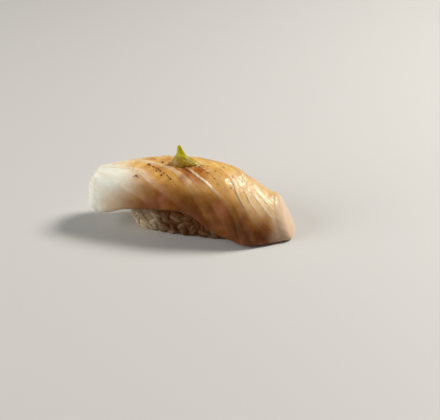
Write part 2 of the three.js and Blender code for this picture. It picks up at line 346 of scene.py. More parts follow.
# The right shoulder swells a little where the slice turns down.
SHOULDER_X, SHOULDER_WIDTH, SHOULDER_SWELL = 28.5, 4, 0.7
TORN_DEPTH, TORN_DETAIL = 0.45, 0.15  # of the rough left end
LAYER_DEPTH, LAYER_DETAIL = 0.12, 0.08  # of the layers on the cut faces
PLAIN_DETAIL = 0.12  # on the underside and the cut faces
TORN_WIDTH = (HALF - 6, HALF - 2)  # distances from the middle over which it grows
EDGE_COLUMNS = 10  # columns over which the flakes run out at the hanging edges
LOWEST = 0.1  # height of the slice's lowest points over the table


def flake_fields(points, along):
    """Which flake each surface point is in, and how near it is to the lines on either side."""
    x = points[..., 0] + 0.8 * noise(points, 9, 2) + 0.15 * noise(points, 2.2)
    past = BACK_SLOPE * np.minimum(along - LINE_STOPS[0], 0)
    lines = [curve_through(list(zip(LINE_STOPS, row[0])))(along) + past for row in FLAKE_LINES]
    low = rise(along, 9, 16)
    # Right of the dab the lines are faint on the top.
    faint = 1 - 0.65 * rise(points[..., 0], 1, 8) * fall(along, 1.5, 6)
    strengths = [mix(high * faint, low_down, low) for _, high, low_down, _ in FLAKE_LINES]
    softs = [soft + 0.8 * low for _, _, _, soft in FLAKE_LINES]
    start = {"index": 0, "share": 0, "after": 0, "before": FAR}
    start.update(strength=1, next_strength=1, soft=1, next_soft=1)
    fields = {name: np.full_like(x, value) for name, value in start.items()}
    for k in range(len(lines) - 1):
        inside = (x >= lines[k]) & (x < lines[k + 1])
        gap = lines[k + 1] - lines[k]
        share = (x - lines[k]) / gap
        # Distances are measured square to the slanting lines.
        found = {
            "index": k + share,
            "share": share,
            "after": (x - lines[k]) / LINE_SLANT,
            "before": (lines[k + 1] - x) / LINE_SLANT,
            "strength": strengths[k],
            "next_strength": strengths[k + 1],
            "soft": softs[k],
            "next_soft": softs[k + 1],
        }
        for name, value in found.items():
            fields[name] = np.where(inside, value, fields[name])
    return fields


def slice_relief(s):
    """How far the surface stands out, in millimetres."""
    step = rise(s.after, -0.1, 0.9 * s.soft) * (1 - 0.8 * s.share)
    flake = FLAKE_STEP * (mix(s.next_strength, s.strength, 1 - s.share) * step - 0.4)
    groove = -GROOVE_DEPTH * s.next_strength * bump(s.before, 0.45 * s.next_soft)
    broken = np.clip(1 + 1.1 * noise(s.points, 2.6), 0, 2)
    broken = broken * (1 - 0.9 * bump(np.hypot(s.x - WORN_X, s.along - WORN_ALONG), WORN_RADIUS))
    lifted = EDGE_LIFT * s.strength**2 * broken * bump(s.after - 0.8 * s.soft, 0.5 * s.soft)
    near_end = rise(s.x - end_rim(s.along), -5, -1)
    # Fine streaks along each flake, coarser on the top towards the right end.
    to_right = rise(s.x, 3, 20) * fall(s.along, 7, 13) * (1 - near_end)
    streaks = (0.05 + 0.15 * to_right) * noise(stacked(s.index * 5.5, s.along * 0.14, 0), 1, 2)
    streaks += (0.03 + 0.06 * to_right) * noise(stacked(s.index * 13, s.along * 0.3, 5), 1)
    streaks += 0.1 * to_right * noise(s.points, 1.4, 2)
    lumps = BROAD_LUMPS * noise(s.points, 11, 2) * (1 - 0.8 * rise(s.x, 8, 18))
    lumps += FINE_LUMPS * noise(s.points, 1.6, 2)
    calm = (1 - 0.8 * near_end) * (1 - 0.45 * rise(-s.along, 0, 8))
    swell = SHOULDER_SWELL * bump(s.x - SHOULDER_X, SHOULDER_WIDTH) * fall(s.along, 0, 7)
    return (flake + groove + lifted) * calm + streaks + lumps + swell


def end_relief(points):
    """How far the torn left end and, apart from it, the layers of the cut faces stand out."""
    left = rise(-points[..., 0], *TORN_WIDTH)
    torn = TORN_DEPTH * noise(points + 3, 2.6, 3) + TORN_DETAIL * noise(points, 1.1)
    layer_at = stacked(points[..., 2] * 0.35 + points[..., 1] * 0.12, points[..., 1] * 0.06, 0)
    layers = LAYER_DEPTH * noise(layer_at, 1, 2) + LAYER_DETAIL * noise(points, 2.6, 2)
    return left * torn, layers


def plain_place(points):
    """Points of the slice with the right end leaned back."""
    moved = points.copy()
    back = END_LEAN * moved[..., 2] + END_BULGE * (moved[..., 1] - END_TIP_Y) ** 2
    moved[..., 0] -= back * rise(moved[..., 0], END_START, HALF)
    return moved


def centring_shift(points):
    """From the slice's own middle to the frame's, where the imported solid's box says it lies."""
    low, high = [np.array(corner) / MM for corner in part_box("fish_slice")]
    flat = plain_place(points).reshape(-1, 3)
    shift = (low + high) / 2 - (flat.min(axis=0) + flat.max(axis=0)) / 2
    shift[2] = 0
    return shift


def outward_directions(points):
    """The directions square to the slice's grid, from each point's neighbours along and around."""
    d_row = np.gradient(points, axis=0)
    d_col = np.roll(points, -1, axis=1) - np.roll(points, 1, axis=1)
    normal = np.cross(d_row, d_col)
    length = np.linalg.norm(normal, axis=-1, keepdims=True)
    # In the middle of a cut face the neighbours meet, and the way out is along X.
    along_x = np.where(points[..., :1] < 0, -1, 1) * np.array([1, 0, 0])
    return np.where(length > 1e-4, normal / np.maximum(length, 1e-9), along_x)


def build_slice():
    """The slice of fish. It returns the shift from the slice's own middle to the frame's."""
    points, along, cap = slice_grid()
    s = SimpleNamespace(points=points, x=points[..., 0], along=along, **flake_fields(points, along))
    column = np.arange(COLUMNS)
    top = rise(np.minimum(column, OUTER - 1 - column) / EDGE_COLUMNS, 0, 1)[None, :]
    on_side = fall(cap, 0.2, 0.5)
    torn, layers = end_relief(points)
    plain = PLAIN_DETAIL * noise(points, 4, 2) * (1 - top * on_side)
    shift = slice_relief(s) * top * on_side + torn + (1 - on_side) * layers + plain
    offset = centring_shift(points)
    moved = plain_place(points + outward_directions(points) * shift[..., None]) + offset
    moved[..., 2] = np.maximum(moved[..., 2], LOWEST)
    faces = tube_faces(*points.shape[:2])
    marks = slice_marks(s, cap, top)
    add_piece("fish", moved.reshape(-1, 3), faces, fish_material(), "fish", "fish_slice", **marks)
    return offset


# ---- the slice of fish: colour ----
# How far down from the ridge the golden sear reaches, along X.
sear_reach = curve_through([
    (-38, 1), (-30, 3), (-24, 6), (-16, 11), (-6, 15), (12, 15), (24, 12), (HALF, 8),
])
# Charred specks: X, distance along, radius.
CHAR_SPOTS = [
    (-17.7, 2, 0.62), (-17, 2.9, 0.5), (-15.4, 4, 0.5), (-14.8, 4.4, 0.32),
    (-13.9, 5, 0.38), (-13, 5.5, 0.4), (-12.1, 6.4, 0.5), (-11.9, 7, 0.4), (-10.4, 7.7, 0.36),
    (-8.9, 8.9, 0.42), (-8.2, 9.6, 0.3), (-7.3, 10.5, 0.38), (-6.2, 11.4, 0.2), (-5, 12.6, 0.22),
    (-11.2, 8.7, 0.45), (-13.6, 6.6, 0.3), (-22.2, 8.6, 0.28), (-21.4, 8.3, 0.38),
    (-20.8, 8.5, 0.38), (-20.2, 9.1, 0.32), (-12.6, 0.6, 0.5), (-12.2, 1.2, 0.42), (-9.5, 1.4, 0.4),
    (-9.6, 3, 0.38), (-8.7, 3.7, 0.36), (-7.5, 4.8, 0.24), (-16.2, -2.2, 0.3),
    (-17.6, -3.6, 0.35), (-3.5, 5.2, 0.32), (-2, 5.4, 0.5), (-1, 6, 0.5), (-0.2, 6.5, 0.42),
    (1.9, 7.9, 0.28), (5.5, 0.9, 0.42), (4.2, 2.6, 0.28), (5.9, 3.9, 0.3), (8.8, 3.2, 0.4),
    (9.2, 7.2, 0.42), (10.7, 9.3, 0.3), (11.4, -0.9, 0.5), (14, -3.8, 0.35), (15.8, 3.6, 0.3),
    (17.6, 5.1, 0.34), (18.9, 4.3, 0.38), (16, 9, 0.42), (27.6, 1, 0.25), (36.6, 3, 0.25),
]
# Fainter specks, most of them behind the ridge: how many, and the range of their X and along.
FAINT_SPECKS = 70
FAINT_X, FAINT_ALONG = (-24, 34), (-17, 6)
SPECK_COS, SPECK_SIN = 0.83, 0.55  # of the slant of the flakes, along which the specks are longer
SPECK_STRETCH = 1.2
# Where the sear is darkest on the top, and a dark patch, the last, just behind the dab: X, distance
# along, radius, strength.
BURNT_PATCHES = [
    (-12, -0.5, 3, 0.6), (-8.5, 3, 2.6, 0.7), (-5.6, 5, 3, 0.8), (-2.2, 5.5, 3.4, 1),
    (2.8, 4.6, 3.4, 1), (5.2, 6, 2.6, 0.7), (-1.5, 7.8, 4, 0.95), (3.6, 7.4, 3.6, 0.8),
    (9.5, 4.5, 3.6, 0.4), (10, 8.5, 3.6, 0.45), (-14, 5.6, 2.6, 0.45), (-10.5, 8.4, 2.8, 0.5),
    (-8, 11, 3, 0.45), (-17.5, 3.6, 2, 0.4), (-17.5, -3.4, 2.4, 0.5),
    (-21, 9, 1.6, 0.35), (38, 2.4, 1.6, 0.45), (4.5, -6, 2.8, 0.5),
]


def add_shared_masks(s, cap, top):
    """Adds to the slice's surface what several of its marks are worked out from."""
    s.wobble = noise(s.points, 6, 3)
    s.fine = noise(s.points, 1.8, 2)
    s.streak = noise(stacked(s.index * 7, s.along * 0.1, 2), 1, 3)
    s.on_side = fall(cap, 0.2, 0.55)
    s.seen = top * s.on_side
    s.down = np.abs(s.along + 1.5)
    # The pale cut face at the right end.
    s.face = rise(cap, 0.1, 0.35)
    s.rim = s.x + 0.6 * s.wobble - end_rim(s.along)
    s.end = np.maximum(rise(s.rim, -2, 2), s.face * (s.x > 0))
    # Painted warm shade low down on the white left part.
    s.warm = rise(s.along, 9, 18) * rise(s.x, -38, -31) * fall(s.x, -24, -14)
    s.burnt = burnt_patches(s)


def burnt_patches(s):
    """The darkest places: the patches, mostly sear, and a strip along the rim of the right end."""
    patches = 0.55 * bump(s.rim + 2.8 + 0.8 * s.fine, 2) * rise(s.along, 6, 13)
    for at_x, at_along, radius, weight in BURNT_PATCHES:
        near = np.hypot(s.x - at_x, s.along - at_along) * (1 + 0.3 * s.fine)
        patches = np.maximum(patches, weight * bump(near, radius))
    return patches


def sear_mark(s):
    """Golden sear over the top, reaching further down towards the middle."""
    sear = rise(s.x + 3.5 * s.wobble, -42, -28)
    sear = sear * fall(s.down - sear_reach(s.x) + 2 * s.wobble, -5, 4)
    sear = sear * (1 - 0.4 * rise(s.x, 18, 30)) * (1 - 0.4 * rise(-s.x, 20, 30))
    sear = sear + (0.3 * s.streak + 0.2 * s.fine) * rise(sear, 0, 0.3)
    return np.clip(sear, 0, 1) * (1 - s.end) * s.seen


def tan_mark(s):
    """Tan lower down than the sear."""
    tan = rise(s.down + 2 * s.wobble - 0.12 * s.x, 4, 15)
    tan = tan * rise(s.x + 3 * s.wobble, -30, -8)
    tan = tan * (1 - 0.35 * rise(s.x, 14, 26) + 0.25 * s.streak)
    # Painted warm shade adds to the tan low down on the white left part.
    return np.clip(tan + 0.35 * s.warm, 0, 1) * (1 - 0.8 * s.end) * s.on_side


def amber_glaze_and_shade_mark(s):
    """Amber glaze with painted shade: low down, most at the end of each flake, and in the grooves."""
    amber_glaze_and_shade = rise(s.down + 1.5 * s.wobble, 12, 22)
    amber_glaze_and_shade = amber_glaze_and_shade * rise(s.x - 0.5 * s.along + 3 * s.wobble, -44, -20)
    amber_glaze_and_shade = amber_glaze_and_shade * mix(0.7, 1, rise(s.share + 0.2 * s.wobble, 0.3, 0.85))
    # A groove runs along the lower left side of each line, its amber partly painted shade.
    groove = 0.45 * s.next_strength * bump(s.before - 0.2, 0.7 * s.next_soft)
    groove = groove * rise(s.x, -28, -16) * (0.6 + 0.5 * s.streak)
    amber_glaze_and_shade = np.clip(np.maximum(amber_glaze_and_shade, groove) + 0.08 * s.fine, 0, 1)
    return amber_glaze_and_shade * (1 - 0.8 * s.end) * s.on_side


def band_mark(s):
    """The pale band along the upper right side of each line."""
    width = mix(0.8, 1.5, rise(s.soft, 0.7, 1.8))
    band = s.strength * rise(s.after, -0.1, 0.35) * fall(s.after, width, 2 * width)
    band = band * (0.8 + 0.4 * s.fine + 0.4 * s.streak + 0.4 * s.wobble)
    band = band * (1 - 0.85 * rise(s.along, 9, 19)) * (1 - 0.85 * s.burnt)
    # Behind the ridge the lines are fainter and broken.
    band = np.clip(band * mix(1, 0.5 + 0.4 * s.wobble, rise(-s.along, 1, 8)), 0, 1)
    return band * (1 - s.end) * s.seen


def char_mark(s):
    """The charred specks."""
    random = np.random.default_rng(SPECK_SEED)
    spots = [(*spot, 1) for spot in CHAR_SPOTS]
    for _ in range(FAINT_SPECKS):
        place = (random.uniform(*FAINT_X), random.uniform(*FAINT_ALONG))
        spots.append((*place, random.uniform(0.14, 0.34), random.uniform(0.4, 1)))
    mask = np.zeros_like(s.x)
    ragged = 1 + 0.5 * noise(s.points, 0.9, 2)
    for at_x, at_along, radius, strength in spots:
        dx, da = s.x - at_x, s.along - at_along
        across, down = SPECK_COS * dx - SPECK_SIN * da, SPECK_SIN * dx + SPECK_COS * da
        near = np.hypot(across, down / SPECK_STRETCH) * ragged
        # Right of the dab the specks are a little fainter.
        strength = strength * (0.8 if at_x > 3 else 1)
        mask = np.maximum(mask, strength * fall(near, radius * 0.5, radius * 1.1))
    return mask * s.seen


def lower_shade_and_glaze_mark(s):
    """Painted shade with some glaze on the lower front: brown, deepest along the hanging edge."""
    low = rise(s.along + 0.8 * s.wobble, 9, 24)
    lower_shade_and_glaze = (low * mix(0.16, 0.8, rise(s.x, -36, -11)) + 0.1 * s.warm) * (1 - 0.35 * s.end)
    lower_shade_and_glaze = lower_shade_and_glaze * (1 - 0.75 * s.face)
    # Paler patches in it, the largest right of the middle.
    lower_shade_and_glaze = lower_shade_and_glaze * (1 - 0.45 * bump(np.hypot(s.x - 13, 0.6 * (s.along - 17.5)), 5.5))
    lower_shade_and_glaze = lower_shade_and_glaze * (1 - 0.4 * rise(noise(s.points + 9, 4.5, 2), 0.1, 0.6))
    return np.clip(lower_shade_and_glaze, 0, 1)


def painted_glint_mark(s):
    """Painted sheen and glints: a paler, finely speckled cream where the slice turns down to the
    right.
    """
    pale = rise(s.x, 13, 19) * fall(s.rim, -5, -2)
    pale = pale * rise(s.along + s.wobble, -3, 2)
    pale = pale * fall(s.along + 0.8 * s.wobble, 7, 10) * mix(1, 0.4, rise(s.x, 19, 27))
    pale = pale * np.clip(0.5 + 1.3 * noise(s.points, 1, 2) + 0.4 * s.streak, 0, 1)
    # Painted highlights on the raised edges of the flakes, halfway down the front.
    edge = s.strength**2 * bump(s.after - 0.45, 0.45) * rise(s.x, 0, 3)
    edge = edge * rise(s.along, 4, 7) * fall(s.along, 11, 14) * (1 + 0.4 * s.fine)
    return np.clip(np.maximum(pale, 1.3 * edge), 0, 1) * (1 - s.end)


def gloss_mark(s):
    """The oily top shines, and the lower half hardly does."""
    gloss = mix(0.4, 0.05, rise(s.along + s.wobble, 6, 15)) * (1 - 0.4 * rise(-s.x, 18, 32))
    gloss = gloss * (1 - 0.9 * s.burnt)
    oiled = rise(s.x, 11, 18) * fall(s.along, 7, 11)
    gloss = gloss + 0.6 * oiled * mix(1, 0.5, rise(s.x, 23, 30))
    raised_edge = 0.9 * s.strength * bump(s.after - 0.5, 0.6) * fall(s.along, 13, 18)
    return np.clip(np.maximum(gloss, raised_edge * (1 - s.burnt)), 0.04, 1)


def grain_mark(s):
    """Where the flesh is oiliest, towards the right end, its coat is rough with fine drops."""
    grain = rise(s.x, 2, 16) * mix(0.65, 1, bump(s.x - 25, 7))
    return grain * fall(s.along, 7, 12) * s.seen


def slice_marks(s, cap, top):
    """The numbers per vertex that the fish's material reads, by name."""
    add_shared_masks(s, cap, top)
    white = rise(-s.x - 0.7 * s.along + 4 * s.wobble, -4, 28)
    return {
        "sear": sear_mark(s),
        "tan": tan_mark(s),
        "amber_glaze_and_shade": amber_glaze_and_shade_mark(s),
        "band": band_mark(s),
        "char": char_mark(s),
        "white": np.maximum(white, rise(-s.x, 31, 38)),
        "end": s.end * (0.85 + 0.15 * s.fine),
        "lower_shade_and_glaze": lower_shade_and_glaze_mark(s),
        "burnt": s.burnt * s.seen,
        "pale": painted_glint_mark(s),
        "grain": grain_mark(s),
        "gloss": gloss_mark(s),
        "fibrous": s.on_side,
        "flake": s.index,
        "along": s.along,
    }


# ---- materials ----
class Nodes:
    """A short way to wire a material's nodes."""

    def __init__(self, name):
        self.material = bpy.data.materials.new(name)
        self.material.use_nodes = True
        self.tree = self.material.node_tree
        self.shader = self.tree.nodes["Principled BSDF"]

    def put(self, value, socket):
        """Links an output to the socket, or sets the socket to a number or a colour."""
        if isinstance(value, bpy.types.NodeSocket):
            self.tree.links.new(value, socket)
        else:
            socket.default_value = value

    def node(self, kind, output, inputs, **settings):
        """An output of a new node, with some of its inputs put and its settings set."""
        made = self.tree.nodes.new(kind)
        for key, value in settings.items():
            setattr(made, key, value)
        for key, value in inputs.items():
            self.put(value, made.inputs[key])
        return made.outputs[output]

    def attribute(self, name):
        return self.node("ShaderNodeAttribute", "Fac", {}, attribute_name=name)

    def vector(self, x, y, z):
        return self.node("ShaderNodeCombineXYZ", "Vector", {"X": x, "Y": y, "Z": z})

    def noise(self, scale, detail=2, vector=None):
        """Noise from 0 to 1, with about scale lumps to each unit of the vector, or to a metre."""
        place = vector or self.node("ShaderNodeTexCoord", "Object", {})
        inputs = {"Vector": place, "Scale": scale, "Detail": detail}
        return self.node("ShaderNodeTexNoise", "Fac", inputs)

    def times(self, a, b):
        return self.node("ShaderNodeMath", "Value", {0: a, 1: b}, operation="MULTIPLY")

    def range(self, value, low, high, to_low=0, to_high=1):
        """A value carried from one range to another and held inside it."""
        ends = {"From Min": low, "From Max": high, "To Min": to_low, "To Max": to_high}
        return self.node("ShaderNodeMapRange", "Result", {"Value": value, **ends}, clamp=True)

    def blend(self, factor, a, b):
        inputs = {"Factor": factor, 6: a, 7: b}  # 6 and 7 are its colours
        return self.node("ShaderNodeMix", 2, inputs, data_type="RGBA")

    def bump(self, height, strength, distance, normal=None):
        """A bumpy normal, with the distance in metres, over another normal or none."""
        inputs = {"Height": height, "Strength": strength, "Distance": distance}
        if normal is not None:
            inputs["Normal"] = normal
        return self.node("ShaderNodeBump", "Normal", inputs)

    def finish(self, color, roughness, normal, **constants):
        """The finished material. The constants are inputs of its shader, with _ for a space."""
        self.put(color, self.shader.inputs["Base Color"])
        self.put(roughness, self.shader.inputs["Roughness"])
        self.put(normal, self.shader.inputs["Normal"])
        for name, value in constants.items():
            self.shader.inputs[name.replace("_", " ")].default_value = value
        return self.material


def srgb(red, green, blue):
    """A colour given as 0 to 255 values of the screen."""
    shares = [value / 255 for value in (red, green, blue)]
    linear = [((c + 0.055) / 1.055) ** 2.4 if c > 0.04045 else c / 12.92 for c in shares]
    return (*linear, 1)


WHITE_FLESH = srgb(242, 242, 228)
END_FLESH = srgb(230, 199, 170)
PALE_FLESH = srgb(240, 206, 152)
GOLDEN = srgb(240, 190, 98)
DEEP_GOLD = srgb(216, 150, 58)
LIGHT_GOLD = srgb(250, 222, 150)
TAN = srgb(226, 166, 82)
DEEP_TAN = srgb(194, 126, 46)
# The glaze's amber, darkened to paint the shade of the lower front.
GLAZE_AND_SHADE_AMBER = srgb(166, 96, 18)
DARK_GLAZE_AND_SHADE_AMBER = srgb(128, 66, 12)
# Brown of the painted shade, with some glaze, on the lower front.
SHADE_AND_GLAZE_BROWN = srgb(84, 38, 6)
BURNT = srgb(154, 80, 2)
ROSE = srgb(206, 132, 98)
BAND_WHITE = srgb(250, 230, 200)
# Cream of the painted sheen, glints and highlights.
GLINT_CREAM = srgb(255, 238, 204)
CHAR_BROWN = srgb(58, 22, 4)

GRAIN_WHITE = srgb(232, 212, 178)
CORE_WHITE = srgb(206, 180, 138)
RICE_MOTTLE = srgb(224, 202, 162)
# Brown of the glaze in the rice, deepened as painted shade.
RICE_GLAZE_AND_SHADE = srgb(94, 48, 0)

PASTE_GREEN = srgb(192, 174, 8)
PASTE_OLIVE = srgb(160, 140, 0)
PASTE_TIP = srgb(206, 196, 14)
PASTE_FOOT = srgb(146, 98, 0)
PASTE_CREAM = srgb(240, 212, 156)
LIGHT_FLECK = srgb(216, 200, 50)
DARK_FLECK = srgb(112, 96, 4)

FLOOR_GREY = srgb(208, 206, 203)
PASTE_ROUGHNESS, FLOOR_ROUGHNESS = 0.42, 0.6


def fish_material():
    n = Nodes("fish")
    tan, char = n.attribute("tan"), n.attribute("char")
    blotch = n.noise(240, 3)
    speckle = n.noise(1100, 3)
    # Fibres run along each flake.
    fibre_at = n.vector(n.times(n.attribute("flake"), 18), n.times(n.attribute("along"), 0.25), 0)
    fibres = n.times(n.noise(1, 3, fibre_at), n.attribute("fibrous"))
    flesh = n.blend(n.attribute("white"), PALE_FLESH, WHITE_FLESH)
    flesh = n.blend(n.range(fibres, 0.35, 0.75, 0, 0.3), flesh, WHITE_FLESH)
    gold = n.blend(n.range(blotch, 0.35, 0.68), GOLDEN, DEEP_GOLD)
    gold = n.blend(n.range(fibres, 0.4, 0.7, 0, 0.5), gold, LIGHT_GOLD)
    brown = n.blend(n.range(blotch, 0.35, 0.7), TAN, DEEP_TAN)
    amber_glaze_and_shade_color = n.blend(n.range(blotch, 0.4, 0.7), GLAZE_AND_SHADE_AMBER, DARK_GLAZE_AND_SHADE_AMBER)
    # Each colour lies over the ones before it.
    layers = [
        (tan, brown),
        (n.attribute("sear"), gold),
        # Amber glaze, with painted shade low down and in the grooves.
        (n.attribute("amber_glaze_and_shade"), amber_glaze_and_shade_color),
        (n.times(n.range(n.noise(130), 0.48, 0.68, 0, 0.6), tan), ROSE),
        (n.attribute("burnt"), BURNT),
        (n.times(n.attribute("band"), 0.7), BAND_WHITE),
        (n.range(speckle, 0.66, 0.8, 0, 0.25), DEEP_GOLD),
        # Painted sheen and glints on the right, and painted highlights on the raised flake edges.
        (n.times(n.attribute("pale"), n.range(speckle, 0.35, 0.6, 0.4, 1)), GLINT_CREAM),
        (n.attribute("end"), END_FLESH),
        # Painted shade, with some glaze, browns the lower front.
        (n.attribute("lower_shade_and_glaze"), SHADE_AND_GLAZE_BROWN),
        (char, CHAR_BROWN),
    ]
    color = flesh
    for share, over in layers:
        color = n.blend(share, color, over)
    rough = n.range(speckle, 0.3, 0.7, 0.4, 0.55)
    inputs = {0: rough, 1: n.times(char, 0.25)}
    rough = n.node("ShaderNodeMath", "Value", inputs, operation="ADD", use_clamp=True)
    normal = n.bump(fibres, strength=0.3, distance=0.0005)
    normal = n.bump(n.noise(900, 3), strength=0.25, distance=0.0003, normal=normal)
    # The oil lies over the flesh as a coat with weak bumps of its own.
    drops = n.times(n.noise(850), n.attribute("grain"))
    oily = n.bump(fibres, strength=0.2, distance=0.0002)
    oily = n.bump(drops, strength=0.9, distance=0.00045, normal=oily)
    n.put(n.attribute("gloss"), n.shader.inputs["Coat Weight"])
    n.put(oily, n.shader.inputs["Coat Normal"])
    return n.finish(
        color, rough, normal, Subsurface_Weight=0.25, Subsurface_Radius=(1, 0.55, 0.3),
        Subsurface_Scale=0.002, Specular_IOR_Level=0.2, Coat_Roughness=0.08, IOR=1.42,
    )


def rice_material(name, body):
    n = Nodes(name)
    mottle = n.noise(400, 3)
    color = n.blend(n.range(mottle, 0.35, 0.7), body, RICE_MOTTLE)
    # Glaze and painted shade brown the rice.
    color = n.blend(n.times(n.attribute("stain"), 0.98), color, RICE_GLAZE_AND_SHADE)
    rough = n.range(mottle, 0.3, 0.7, 0.3, 0.42)
    normal = n.bump(n.noise(1400), strength=0.2, distance=0.0002)
    return n.finish(
        color, rough, normal, Subsurface_Weight=0.55, Subsurface_Radius=(1, 0.7, 0.45),
        Subsurface_Scale=0.0018, Specular_IOR_Level=0.18, Coat_Weight=0.06, Coat_Roughness=0.2,
        IOR=1.4,
    )


def paste_material():
    n = Nodes("paste")
    shade = n.noise(520, 3)
    fleck = n.noise(1500)
    color = n.blend(n.range(shade, 0.35, 0.65), PASTE_GREEN, PASTE_OLIVE)
    color = n.blend(n.attribute("tip"), color, PASTE_TIP)
    color = n.blend(n.attribute("base"), color, PASTE_FOOT)
    color = n.blend(n.attribute("pale"), color, PASTE_CREAM)
    color = n.blend(n.range(fleck, 0.6, 0.72, 0, 0.5), color, LIGHT_FLECK)
    color = n.blend(n.range(fleck, 0.28, 0.38, 0.7, 0), color, DARK_FLECK)
    normal = n.bump(fleck, strength=0.6, distance=0.0005)
    return n.finish(
        color, PASTE_ROUGHNESS, normal, Subsurface_Weight=0.25, Subsurface_Radius=(0.8, 0.8, 0.2),
        Subsurface_Scale=0.001, Specular_IOR_Level=0.25, Coat_Weight=0.1, Coat_Roughness=0.22,
    )


# ---- the rice ----
RICE_CENTRE_X = -0.7
RICE_TOP = 17
RICE_SQUARENESS = 2.8  # the outline from above is an ellipse at 2, and squarer at more
RICE_TAPER = 0.006  # the share by which the block widens for each millimetre towards +X
# The block's length and width at each height, as shares of the full ones.
length_share = curve_through([(0, 0.93), (3, 0.98), (8.5, 1), (14, 0.95), (18, 0.8)])
width_share = curve_through([(0, 0.8), (3, 0.92), (8.5, 1), (14, 0.95), (18, 0.8)])

CORE_TURNS, CORE_LEVELS = 120, 26  # points round the core and rings up its side
CORE_FOOT = 0.2  # height of its lowest ring
CORE_OUTSET = 0.1  # how far it stands out past the middles of the outer grains
CORE_LUMPS = 0.35
CORE_GAP = 0.35  # clear of the slice's underside
CLOSED = 0.02  # share of the last ring that closes the core's top and bottom

GRAIN_LEVELS = np.arange(1, 16.5, 1.9)
GRAIN_SPACING = 4.1  # along each level
FIRST_GRAIN = 4  # a level's first grain lies at most this far round it
GRAIN_GAP = 0.1  # clear of the slice's underside
MOST_ABOVE = 0.45  # a grain with a larger share above the slice's underside is left out
GRAIN_RINGS, GRAIN_SIDES = 11, 12
# How the grains vary: height either way in millimetres, then tilt, pitch and roll in radians.
GRAIN_DRIFT, GRAIN_TILT, GRAIN_PITCH, GRAIN_ROLL = 0.6, 0.95, 0.12, 0.35
GRAIN_SIZES, GRAIN_WIDTHS, GRAIN_INSETS = (0.86, 1.08), (0.9, 1.08), (0.2, 0.7)
# How much the glaze and painted shade change from grain to grain.
GLAZE_AND_SHADE_CHANGE = 0.09
LEVEL_SAMPLES = 721  # samples round a level, from which the grains' places are taken
UNDERSIDE_CLIMB = 0.2  # least rise of the underside over the inside of its lips
NO_CEILING = 99  # where the slice isn't overhead


def rice_point(turn, z, inset=0):
    """A point of the block's side at a turn about Z and a height, inset from the outer grains."""
    power = 2 / RICE_SQUARENESS
    half_length = (RICE_LENGTH - GRAIN_THICKNESS) / 2 - inset
    half_width = (RICE_WIDTH - GRAIN_THICKNESS) / 2 - inset
    cos, sin = np.cos(turn), np.sin(turn)
    x = half_length * length_share(z) * np.sign(cos) * np.abs(cos) ** power
    y = half_width * width_share(z) * np.sign(sin) * np.abs(sin) ** power * (1 + RICE_TAPER * x)
    return stacked(RICE_CENTRE_X + x, y, z)


def rice_direction(turn, z, turn_step=0, z_step=0):
    """The way that the block's side runs with the turn or with the height."""
    ahead = rice_point(turn + turn_step, z + z_step)
    return Vector(ahead - rice_point(turn - turn_step, z - z_step))


def slice_ceiling(points):
    """The height of the slice's underside above points, millimetres."""
    x, y = points[..., 0], points[..., 1]
    off_ridge = np.abs(y - ridge_offset(x))
    side = np.where(y < ridge_offset(x), -1, 1)
    across = np.clip(off_ridge / (reach_at(x, side) * (1 - LIP_SHARE)), 0, 1)
    low = edge_height_at(x, side) + LIP_ROUNDING / 2
    climb = np.maximum(underside_height(x) - low, UNDERSIDE_CLIMB)
    power = boxiness(x)
    cosine = np.sqrt(np.maximum(1 - across ** (2 / power), 0))
    under = np.where(across >= 1, edge_height_at(x, side), low + climb * cosine**power)
    return np.where(off_ridge / reach_at(x, side) > 1, NO_CEILING, under)


def rice_stain(points):
    """How much glaze and painted shade darken the rice: under the fish's edge and over the right
    half.
    """
    wobble = noise(points, 7, 2)
    to_back = rise(points[..., 1], -6, 6)
    stain = rise(points[..., 0] + 4 * wobble, -33, -6) * (1 - 0.6 * to_back)
    return np.clip(stain + 0.2 * wobble, 0.12, 1)


def build_rice_core(offset):
    """The inside of the block, which shows between the grains."""
    turns = np.linspace(0, 2 * math.pi, CORE_TURNS, endpoint=False)
    heights = np.linspace(CORE_FOOT, RICE_TOP, CORE_LEVELS)
    rows = [rice_point(turns, np.full_like(turns, z), inset=-CORE_OUTSET) for z in heights]
    bottom = rows[0] * np.array([0.98, 0.98, 0])
    halfway_in = rows[-1] * np.array([0.5, 0.5, 1])
    closing = np.array([CLOSED, CLOSED, 1])
    points = np.array([bottom * closing, bottom, *rows, halfway_in, halfway_in * closing])
    side = points[2:-2]
    out = side - np.array([RICE_CENTRE_X, 0, 0])
    out[..., 2] = 0
    out /= np.linalg.norm(out, axis=-1, keepdims=True)
    side += out * (CORE_LUMPS * noise(side, 2.4, 2))[..., None]
    points[..., 2] = np.minimum(points[..., 2], np.maximum(slice_ceiling(points) - CORE_GAP, 0))
    faces = tube_faces(*points.shape[:2])[:, ::-1]
    flat = points.reshape(-1, 3)
    material, stain = rice_material("rice_core", CORE_WHITE), rice_stain(flat)
    add_piece("rice_core", flat + offset, faces, material, "rice", "rice_block", stain=stain)


def grain_shape():
    """One cooked grain: a plump, slightly flat ellipsoid with a dent at its germ end."""
    u = np.linspace(0, math.pi, GRAIN_RINGS)[:, None]
    v = np.linspace(0, 2 * math.pi, GRAIN_SIDES, endpoint=False)[None, :]
    x = -np.cos(u)
    full = np.sin(u) ** 0.65
    y = full * np.cos(v)
    dent = 0.22 * bump(x - 0.72, 0.25) * bump(y - 0.8, 0.5)
    points = stacked(x, y - dent, full * np.sin(v))
    return points.reshape(-1, 3), tube_faces(GRAIN_RINGS, GRAIN_SIDES)


